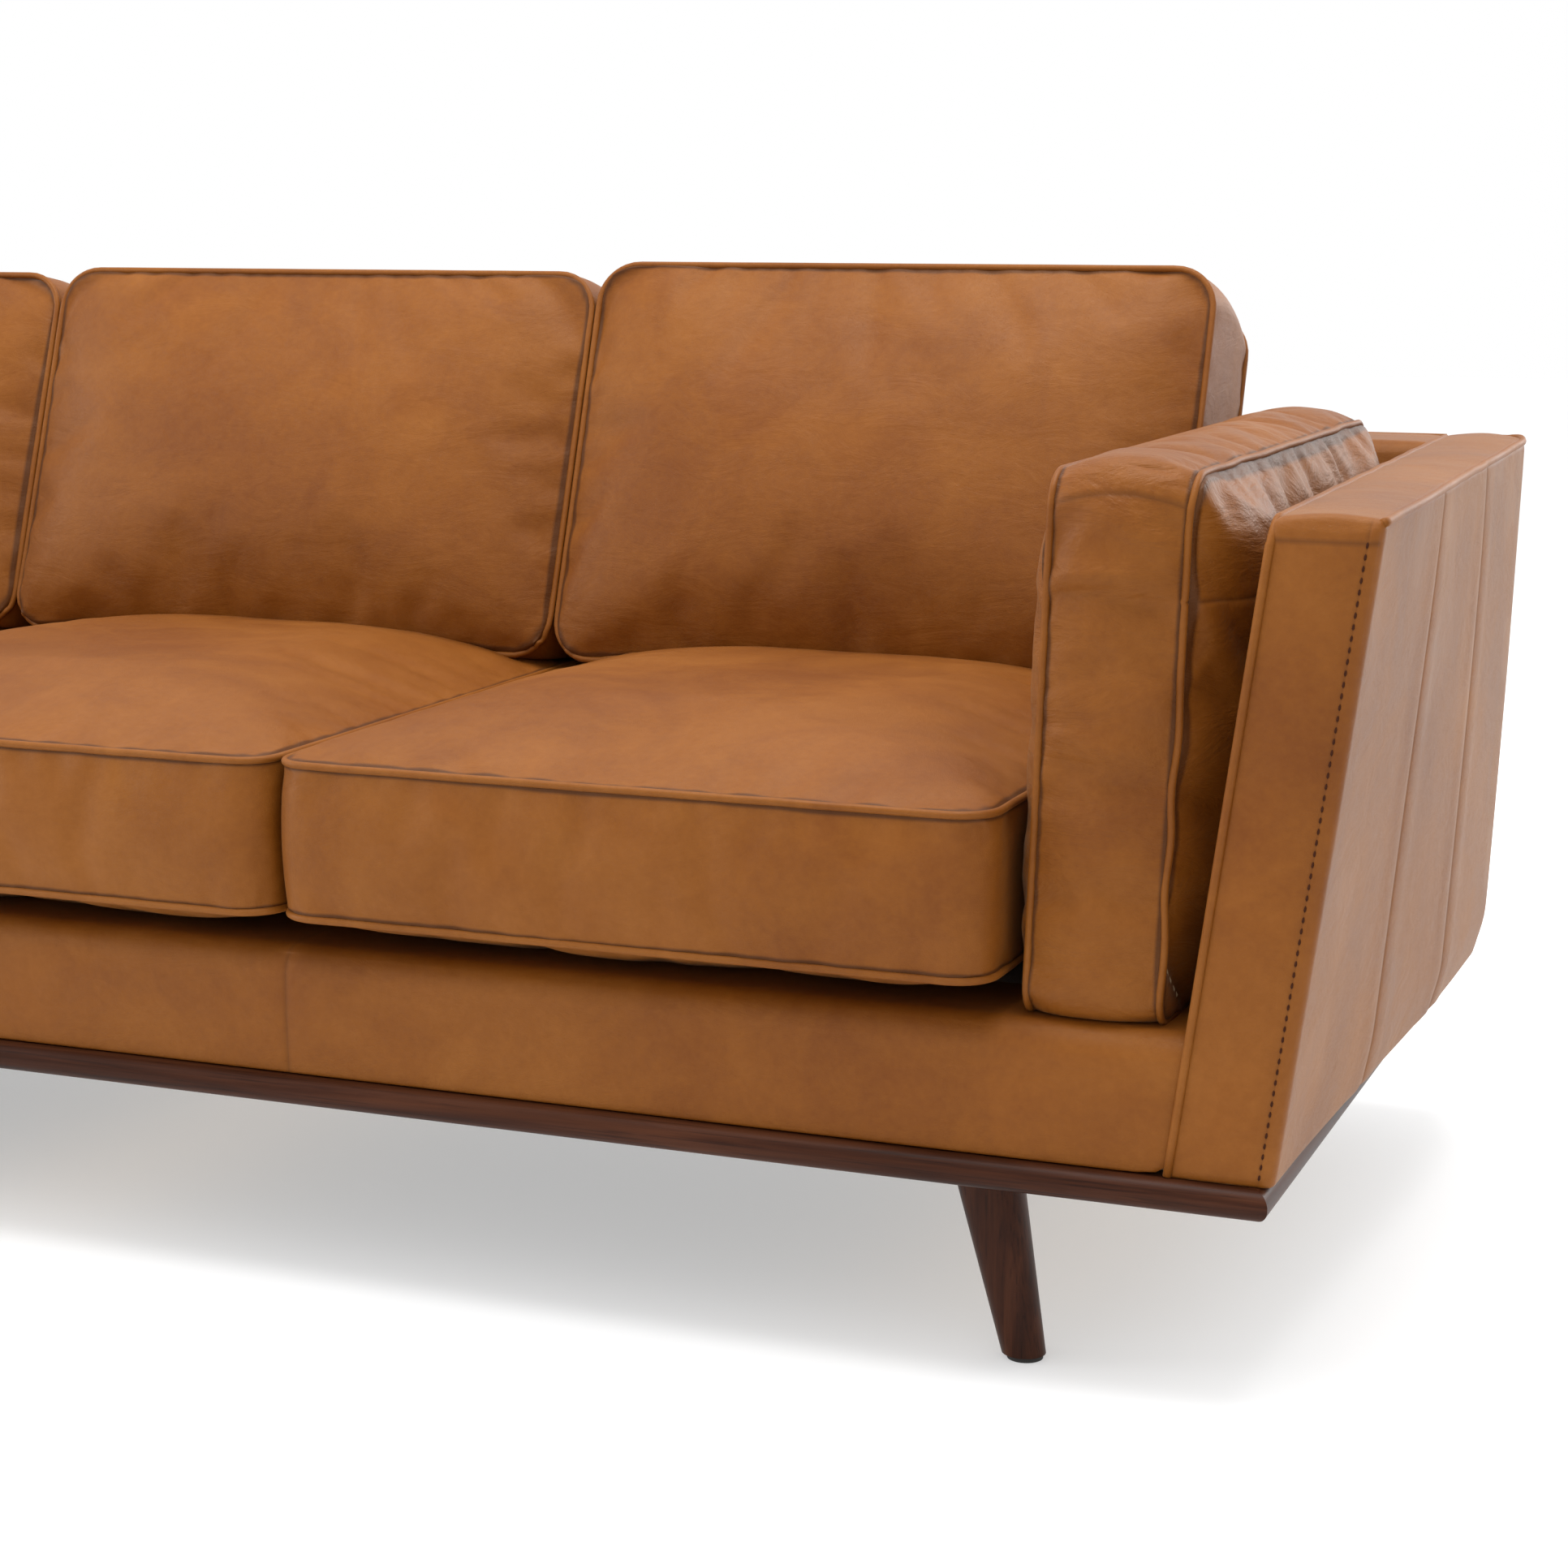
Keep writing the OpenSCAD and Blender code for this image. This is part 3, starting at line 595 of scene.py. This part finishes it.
def seatCushion(which, side):
    look = seatLook
    low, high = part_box("seat_cover_" + which)
    thick = high.z - low.z - look["rise"] - look["low"]
    half = ((high.x - low.x) / 2 - look["gap"], (high.y - low.y) / 2, thick / 2)
    middle = (low + high) / 2
    middle.z = low.z + look["low"] + half[2]
    seed = 3.1 + 7.7 * side

    def shape(p, onSeam):
        if onSeam:
            return p
        dome = puff(p.x, p.y, half)
        if p.z > half[2] - tiny:
            slope = smooth(half[1], -half[1] * 0.2, p.y)
            p.z += look["crown"] * dome * (0.55 + 0.45 * slope)
        elif p.z < tiny - half[2]:
            p.z -= look["sag"] * dome
        else:
            belly = 1 - (p.z / half[2]) ** 2
            p.x *= 1 + look["side"] * 0.35 * belly / half[0]
            p.y *= 1 + look["side"] * belly / half[1]
        p += Vector((0, 0, 0.0015 * wrinkle(p.x * 7, p.y * 7, p.z * 7, seed)))
        return p

    def settle(p, gap, line):
        along = 28.0 * (p.x if abs(p.y) / half[1] > abs(p.x) / half[0] else p.y)
        pinch = math.exp(-((gap - 0.012) / 0.012) ** 2) * 0.0007
        p.z += pinch * wrinkle(along, 0.0, gap * 20, seed) * (1 if p.z > 0 else -1)
        p.x = math.copysign(min(abs(p.x), half[0] + 0.0028), p.x)
        p += middle
        front = smooth(low.y + 0.07, low.y, p.y)
        under = smooth(0.03, 0.10, p.y)  # the back cushion presses this end flat
        p.z = min(p.z, 1 - under + under * (seatTop - 0.0008))
        p.z = max(p.z, deckTop + 0.0006 + 0.001 * front)
        p.y = min(p.y, high.y + 0.004)
        return p

    cushion("seat_leather_" + which, ["seat_cover_" + which, "seat_foam_" + which],
            "seat_cushion_" + which, look, half, shape, settle, cushionLeather)


def backCushion(which, side):
    look = backLook
    low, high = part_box("back_cushion_cover_" + which)
    length = look["length"] + look["taller"][which]
    half = ((high.x - low.x) / 2 - 0.0025, length / 2, look["depth"] / 2)
    lean = math.radians(look["lean"])
    up = Vector((0, math.sin(lean), math.cos(lean)))
    out = Vector((0, -math.cos(lean), math.sin(lean)))
    foot = Vector(((low.x + high.x) / 2, look["footY"], look["footZ"]))
    seed = 11.3 + 5.9 * side

    def shape(p, onSeam):
        if onSeam:
            return p
        dome = puff(p.x, p.y, half)
        if p.z > half[2] - tiny:
            lower = smooth(half[1], -half[1] * 0.75, p.y)
            p.z += look["front"] * dome * (0.45 + 0.75 * lower)
        elif p.z < tiny - half[2]:
            p.z -= look["rear"] * dome
        else:
            belly = 1 - (p.z / half[2]) ** 2
            p.y *= 1 + look["side"] * belly / half[1]
            p.x *= 1 + look["side"] * 0.3 * belly / half[0]
        p.z += 0.002 * wrinkle(p.x * 6, p.y * 6, p.z * 6, seed)
        return p

    def settle(p, gap, line):
        cornerX, cornerY = half[0] - abs(p.x), p.y + half[1]
        reach = math.hypot(cornerX, cornerY)
        pinch = math.exp(-(reach / 0.085) ** 2) * 0.0042 if p.z > 0 else 0.0
        turn = math.atan2(cornerY, max(1e-4, cornerX))
        p.z += pinch * wrinkle(turn * 3.4, reach * 5, 0.0, seed + side)
        along = 26.0 * (p.x if abs(p.y) / half[1] > abs(p.x) / half[0] else p.y)
        p.z += math.exp(-((gap - 0.014) / 0.014) ** 2) * 0.0009 * wrinkle(along, 0.0, gap * 20, seed)
        p.x = math.copysign(min(abs(p.x), half[0] + 0.0019), p.x)
        spot = foot + Vector((p.x, 0, 0)) + up * (p.y + half[1]) + out * (p.z - half[2])
        stand = seatTop + 0.0008 - 0.017 * smooth(0.10, 0.0, cornerX)
        if spot.z < stand:
            spot.z = stand + 0.0005 * (spot.z - stand)
        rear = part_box("back_cover")[0].y + (spot.z - deckTop) * 0.28
        spot.y = min(spot.y, max(rear, high.y + 0.006) if spot.z > 0.655 else rear - 0.002)
        return spot

    cushion("back_leather_" + which, ["back_cushion_cover_" + which, "back_cushion_fill_" + which],
            "back_cushion_" + which, look, half, shape, settle, cushionLeather)


def bolster(which, side):
    look = bolsterLook
    half = ((look["rear"] - look["front"]) / 2, (look["top"] - look["foot"]) / 2,
            (look["outer"] - look["inner"]) / 2)
    middle = Vector(((look["inner"] + look["outer"]) / 2, (look["front"] + look["rear"]) / 2,
                     (look["foot"] + look["top"]) / 2))
    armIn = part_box("arm_cover_right")[0].x
    seed = 21.7 + 9.1 * side

    def shape(p, onSeam):
        # x runs to the rear, y up and z outwards
        if onSeam:
            return p
        dome = puff(p.x, p.y, half)
        if p.z > half[2] - tiny:
            p.z += look["bulgeOut"] * dome * (0.5 + 1.2 * smooth(-half[1], half[1] * 0.7, p.y))
        elif p.z < tiny - half[2]:
            p.z -= look["bulgeIn"] * dome
        else:
            belly = 1 - (p.z / half[2]) ** 2
            p.x *= 1 + look["round"] * belly / half[0]
            p.y *= 1 + look["round"] * belly / half[1] * (1.4 if p.y > 0 else 0.2)
        p.z += 0.002 * wrinkle(p.x * 9, p.y * 9, p.z * 9, seed)
        return p

    def onStrip(p):
        # the seam across the front strip's top, and the one lower on the outer panel
        panelSeam, frontSeam = look["strips"]
        if p.z > half[2] - tiny:
            return dip(p.y, [panelSeam], look["seamWidth"])
        if p.x < -half[0] * 0.95 and p.z > tiny - half[2]:
            return dip(p.y, [frontSeam], look["seamWidth"])
        return 0.0

    def settle(p, gap, line):
        topGap = half[1] - p.y
        if p.z > half[2] * 0.98:
            p.z -= look["seamDepth"] * line
        else:
            p.x += look["seamDepth"] * line
        if p.z > half[2] * 0.98:  # gathers along the top of the outer panel
            pull = math.exp(-(topGap / 0.085) ** 2) * smooth(0.0, 0.012, topGap) * smooth(-half[0], 0.1, p.x)
            p.z += look["gather"] * pull * wrinkle(p.x * 46, p.y * 5, 0.0, seed)
            p.z += 0.0030 * wrinkle((p.x + p.y) * 16, p.y * 9, 0.0, seed + 2)
        elif abs(p.z) < half[2] * 0.98 and p.x < 0:  # creases across the front
            ridge = max(0.0, 1 - 2.6 * abs(wrinkle(p.z * 8, p.y * 17, 0.0, seed))) ** 2
            inward = smooth(0.0, 0.02, gap)
            upper = smooth(-0.12, 0.06, p.y) * smooth(0.0, 0.05, topGap)
            p.x -= look["crease"] * ridge * inward * upper
            p.x += 0.0020 * inward * wrinkle(p.z * 16, p.y * 30, 0.0, seed)
        p.x += 0.0007 * wrinkle(p.y * 30, p.z * 30, p.x * 30, seed)
        spot = Vector((p.z, p.x, p.y)) + middle
        spot.x += look["tip"] * (p.y / half[1])
        reach = armIn + (spot.z - look["armFoot"]) * look["armSlope"] - look["armGap"]
        spot.x = max(min(spot.x, reach), look["inside"])
        spot.z = max(spot.z, deckTop + 0.0007)
        spot.x *= side
        return spot

    cushion("bolster_leather_" + which, ["bolster_cover_" + which, "bolster_fill_" + which],
            "bolster_" + which, look, half, shape, settle, bolsterLeather, side < 0, onStrip)


for which, side in seats.items():
    seatCushion(which, side)
    backCushion(which, side)
for which, side in sides.items():
    bolster(which, side)
print("cushions sewn")


armLook = {
    "step": 0.014, "frontOuter": 0.010, "frontInner": 0.006, "rearOuter": 0.066, "topOuter": 0.007,
    "topInner": 0.006, "topFront": 0.010, "topRear": 0.032, "welt": 0.0034, "groove": 0.0016,
    "seams": (-0.140, 0.110), "frontSeam": 0.0105, "bulge": 0.031, "fade": 0.36,
    "stitch": 0.0050, "pitch": 0.0080, "threadThick": 0.0022, "frontTop": 0.0157,
    "edgeBand": 0.011, "rearRows": 9, "topBand": 0.022, "topRows": 7,
    "topCrown": 0.0035, "frontCrown": 0.0025,
}
railLook = {
    "step": 0.014, "edge": 0.022, "edgeRows": 8, "seams": (-0.300, 0.300), "groove": 0.0020, "crown": 0.0020,
}
rearLook = {
    "step": 0.016, "edge": 0.012, "edgeBand": 0.013, "edgeRows": 6, "seams": (-0.360, 0.360),
    "groove": 0.0016, "welt": 0.0031, "slope": 0.105, "crown": 0.0035,
}
sideGap = 0.0008  # between the arms and what is sewn between them

armLow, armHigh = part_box("arm_cover_right")
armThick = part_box("plinth_front")[1].x - armLow.x
armLean = armHigh.x - armLow.x - armThick


def armInner(y, z):
    # the arm's inner face stands a little straighter at the rear than at the front
    rearward = (y - armLow.y) / (armHigh.y - armLow.y)
    return armLow.x + armLean * (1 - armLook["fade"] * rearward) * (z - armLow.z) / (armHigh.z - armLow.z)


def armSkin(p):
    # p is a point on the plain block: x into the arm's thickness, y and z in place
    look = armLook
    inner, outer = p.x, armThick - p.x
    front, rear, top = p.y - armLow.y, armHigh.y - p.y, armHigh.z - p.z
    onOuter, onFront = outer < tiny, front < tiny
    outer, front = roundEdge(outer, front, look["frontOuter"])
    inner, front = roundEdge(inner, front, look["frontInner"])
    outer, rear = roundEdge(outer, rear, look["rearOuter"])
    outer, top = roundEdge(outer, top, look["topOuter"])
    inner, top = roundEdge(inner, top, look["topInner"])
    front, top = roundEdge(front, top, look["topFront"])
    rear, top = roundEdge(rear, top, look["topRear"])
    x = inner if p.x < armThick / 2 else armThick - outer
    y = armLow.y + front if p.y < 0 else armHigh.y - rear
    z = armHigh.z - top
    if onOuter:
        rearward = smooth(armLow.y - 0.05, 0.26, p.y) * smooth(armHigh.y + 0.02, 0.33, p.y)
        height = (p.z - armLow.z) / (armHigh.z - armLow.z)
        tuck = 0.72 + 0.28 * smooth(0.0, 0.10, height)
        x += look["bulge"] * rearward * tuck * max(0.0, 1 - height) ** 0.8
        x += 0.0012 * wrinkle(p.y * 5, p.z * 5, 0.0, 4.0)
        for line in look["seams"]:
            x -= look["groove"] * dip(p.y, [line])
            x += 0.0014 * math.exp(-((abs(p.y - line) - 0.022) / 0.016) ** 2) * smooth(0.0, 0.08, top)
    if onFront:
        y += 0.0008 * math.exp(-((p.x - armThick + look["frontSeam"]) / 0.0014) ** 2)
        y -= look["frontCrown"] * arch(p.x / armThick) * smooth(0.0, 0.03, top)
    if p.z > armHigh.z - tiny:
        z += look["topCrown"] * arch(p.x / armThick) + 0.0008 * wrinkle(p.y * 18, p.x * 9, 0.0)
    return Vector((armInner(y, z) + x, y, z))


def armPiece(which, side):
    look = armLook
    body = "frame"
    name = "arm_leather_" + which
    across = edged(0, armThick, 0.010, look["edgeBand"])
    seam = armThick - look["frontSeam"]
    across = sorted([p for p in across if abs(p - seam) > 0.0022] + [seam - 0.0015, seam, seam + 0.0015])
    front, rear = look["edgeBand"], look["rearOuter"]
    deep = [armLow.y + front * i / 4 for i in range(4)]
    deep += span(armLow.y + front, armHigh.y - rear, look["step"], look["seams"])
    deep += closing(armHigh.y, rear, look["rearRows"])
    top = look["topBand"]
    high = span(armLow.z, armHigh.z - top, look["step"]) + closing(armHigh.z, top, look["topRows"])
    bm = gridBlock([across, deep, high])
    seamShadeMarks = []
    # painted shade in the outer seams, the front seam and the seam across the front's top
    for v in bm.verts:
        outside = 0.5 * dip(v.co.y, look["seams"], 0.0014) if armThick - v.co.x < tiny else 0.0
        ahead = 0.0
        if v.co.y - armLow.y < tiny:
            level = dip(v.co.z, [armHigh.z - look["frontTop"]], 0.0012)
            ahead = max(0.35 * dip(v.co.x, [seam], 0.0010), 0.6 * level)
        seamShadeMarks.append(max(outside, ahead))
        v.co = armSkin(v.co.copy())
        v.co.x *= side
    if side < 0:
        bmesh.ops.reverse_faces(bm, faces=bm.faces)
    piece = place(name, meshFrom(bm, name), body, bodyLeather)
    paintSeamShade(piece.data, seamShadeMarks)
    subdivide(piece)
    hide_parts("arm_cover_" + which, "arm_pad_" + which)

    def mirrored(points):
        return [Vector((p.x * side, p.y, p.z)) for p in points]

    # piping up the front's inner edge and back along the top
    turn = 0.020
    path = [Vector((0, armLow.y, z)) for z in span(armLow.z + 0.001, armHigh.z - turn, 0.02)]
    path = [armSkin(p) + Vector((-0.0010, -0.0010, 0)) for p in path]
    for i in range(1, 8):
        a = math.pi / 2 * i / 8
        y = armLow.y + turn * (1 - math.cos(a)) + 0.0015
        z = armHigh.z - turn * (1 - math.sin(a)) - 0.0015
        path.append(Vector((armInner(y, z) + 0.0012, y, z)))
    path += [armSkin(Vector((0, y, armHigh.z))) for y in span(armLow.y + turn, armHigh.y - 0.004, 0.02)]
    # piping along the outer top edge and round the rear corner
    count = look["rearRows"]
    corner = closing(armHigh.y, rear, count)
    outer = span(armLow.y + 0.004, armHigh.y - rear - 0.001, look["step"]) + corner
    outer = [armSkin(Vector((armThick, y, armHigh.z))) for y in outer]
    outer += [armSkin(Vector((armThick - rear * i / count, armHigh.y, armHigh.z))) for i in range(1, count)]
    welts = tube("arm_piping_" + which, [mirrored(path), mirrored(outer)], look["welt"], body, pipingLeather)
    count = round((armHigh.z - 0.012 - armLow.z) / look["pitch"])
    steps = [armLow.z + 0.004 + look["pitch"] * i for i in range(count)]
    row = [armSkin(Vector((seam, armLow.y, z))) - Vector((0, 0.0002, 0)) for z in steps]
    stitchRow("arm_stitches_" + which, mirrored(row), look["stitch"], look["threadThick"], body,
                      seamThread)


def betweenArms(x, y, z):
    # the end faces at x of -1 and 1 go to the arms, and the rest stays short of them
    end = armInner(y, z) - sideGap
    return x * end if abs(x) > 0.999 else math.copysign(min(abs(x), end - 0.002), x)


def railPiece():
    look = railLook
    low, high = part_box("front_rail_cover")
    edge = look["edge"]
    levels = span(low.z, high.z - edge, 0.012) + closing(high.z, edge, look["edgeRows"])
    across = span(-1, 1, look["step"], look["seams"])
    bm = gridBlock([across, edged(low.y, high.y, 0.012, edge, 6), levels])
    # painted shade in the rail's two seams
    seamShadeMarks = [0.45 * dip(v.co.x, look["seams"], 0.0008) for v in bm.verts]
    for v in bm.verts:
        x, y, z = v.co
        onFront = y - low.y < tiny
        front, top = roundEdge(y - low.y, high.z - z, edge)
        y, z = low.y + front, high.z - top
        if onFront:
            groove = look["groove"] * dip(x, look["seams"])
            fullness = look["crown"] * arch((v.co.z - low.z) / (high.z - low.z))
            y += groove - fullness - 0.0008 * wrinkle(x * 6, z * 8, 0.0, 9.0)
        v.co = (betweenArms(x, y, z), y, z)
    piece = place("front_rail_leather", meshFrom(bm, "front_rail_leather"), "frame", railLeather)
    paintSeamShade(piece.data, seamShadeMarks)
    subdivide(piece)
    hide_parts("front_rail_cover", "front_rail_pad")


def rearPiece():
    # the inside of the back, its top and the outside panel
    look = rearLook
    low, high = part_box("back_cover")
    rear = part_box("outside_back")[1].y
    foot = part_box("outside_back")[0].z
    band = look["edgeBand"]
    levels = span(foot, high.z - band, look["step"]) + closing(high.z, band, look["edgeRows"])
    bm = gridBlock([span(-1, 1, look["step"], look["seams"]), edged(0, 1, 0.10, 0.12, 5), levels])
    # painted shade in the back cover's two seams
    seamShadeMarks = [0.45 * dip(v.co.x, look["seams"], 0.0008) for v in bm.verts]
    for v in bm.verts:
        x, depth, z = v.co
        front = low.y - 0.0005 + look["slope"] * max(0.0, z - deckTop) / (high.z - deckTop)
        thick = rear - front
        ahead, behind, top = depth * thick, (1 - depth) * thick, high.z - z
        onRear = behind < tiny
        behind, top = roundEdge(behind, top, look["edge"])
        ahead, top = roundEdge(ahead, top, look["edge"])
        y = front + ahead if depth < 0.5 else rear - behind
        z = high.z - top
        if onRear:
            y += look["crown"] * smooth(0.0, 0.06, top) * smooth(foot, foot + 0.05, z)
            y -= look["groove"] * dip(x, look["seams"])
        v.co = (betweenArms(x, y, z), y, z)
    piece = place("back_leather", meshFrom(bm, "back_leather"), "frame", bodyLeather)
    paintSeamShade(piece.data, seamShadeMarks)
    subdivide(piece)
    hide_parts("back_cover", "back_pad", "outside_back")
    y, z = rear - 0.0030, high.z - 0.0030
    end = armInner(y, z)
    line = [Vector((x, y, z)) for x in span(-end, end, 0.05)]
    welt = tube("back_piping", [line], look["welt"], "frame", pipingLeather)


for which, side in sides.items():
    armPiece(which, side)
railPiece()
rearPiece()
print("fixed covers made")


floorBm = bmesh.new()
bmesh.ops.create_circle(floorBm, cap_ends=True, radius=14.0, segments=96)
floorMesh = bpy.data.meshes.new("floor")
floorBm.to_mesh(floorMesh)
floorBm.free()
floor = bpy.data.objects.new("floor", floorMesh)
floor.location.z = -0.0005
bpy.context.scene.collection.objects.link(floor)
floorPaint = Paint("studio_floor")
floorMesh.materials.append(floorPaint.finish(
    (0.62, 0.62, 0.622), 0.9, None,
    {"Specular IOR Level": 0.05, "Emission Color": (1.0, 1.0, 1.0), "Emission Strength": 0.40}))

lightLook = {
    # name: place, aim, width, height, watts
    "left_box": ((-3.6, -1.4, 1.7), (0.4, 0.0, 0.5), 1.8, 1.8, 62.0),
    "rear_right_box": ((2.9, 3.8, 2.0), (1.1, 0.0, 0.5), 2.4, 2.2, 80.0),
    "top_box": ((0.6, -0.4, 3.6), (0.5, 0.0, 0.3), 2.4, 2.4, 125.0),
}
for lightName, (spot, aim, width, height, watts) in lightLook.items():
    lamp = bpy.data.lights.new(lightName, "AREA")
    lamp.shape = "RECTANGLE"
    lamp.size = width
    lamp.size_y = height
    lamp.energy = watts
    holder = bpy.data.objects.new(lightName, lamp)
    holder.location = spot
    holder.rotation_euler = (Vector(aim) - Vector(spot)).to_track_quat("-Z", "Y").to_euler()
    bpy.context.scene.collection.objects.link(holder)

world = bpy.data.worlds.new("studio")
world.use_nodes = True
world.node_tree.nodes["Background"].inputs["Color"].default_value = (1.0, 1.0, 1.0, 1.0)
world.node_tree.nodes["Background"].inputs["Strength"].default_value = 1.0
bpy.context.scene.world = world
bpy.context.scene.view_settings.view_transform = "Standard"

cameraLook = {"place": (1.543, -2.540, 0.868), "turn": 22.20, "down": 12.52, "lens": 71.05,
              "shiftX": 0.0397, "shiftY": 0.0699}
camData = bpy.data.cameras.new("camera")
camData.sensor_width = 36.0
camData.lens = cameraLook["lens"]
camData.shift_x = cameraLook["shiftX"]
camData.shift_y = cameraLook["shiftY"]
camera = bpy.data.objects.new("camera", camData)
camera.location = cameraLook["place"]
camera.rotation_euler = (math.radians(90 - cameraLook["down"]), 0, math.radians(cameraLook["turn"]))
bpy.context.scene.collection.objects.link(camera)
bpy.context.scene.camera = camera
print("camera and lights set")
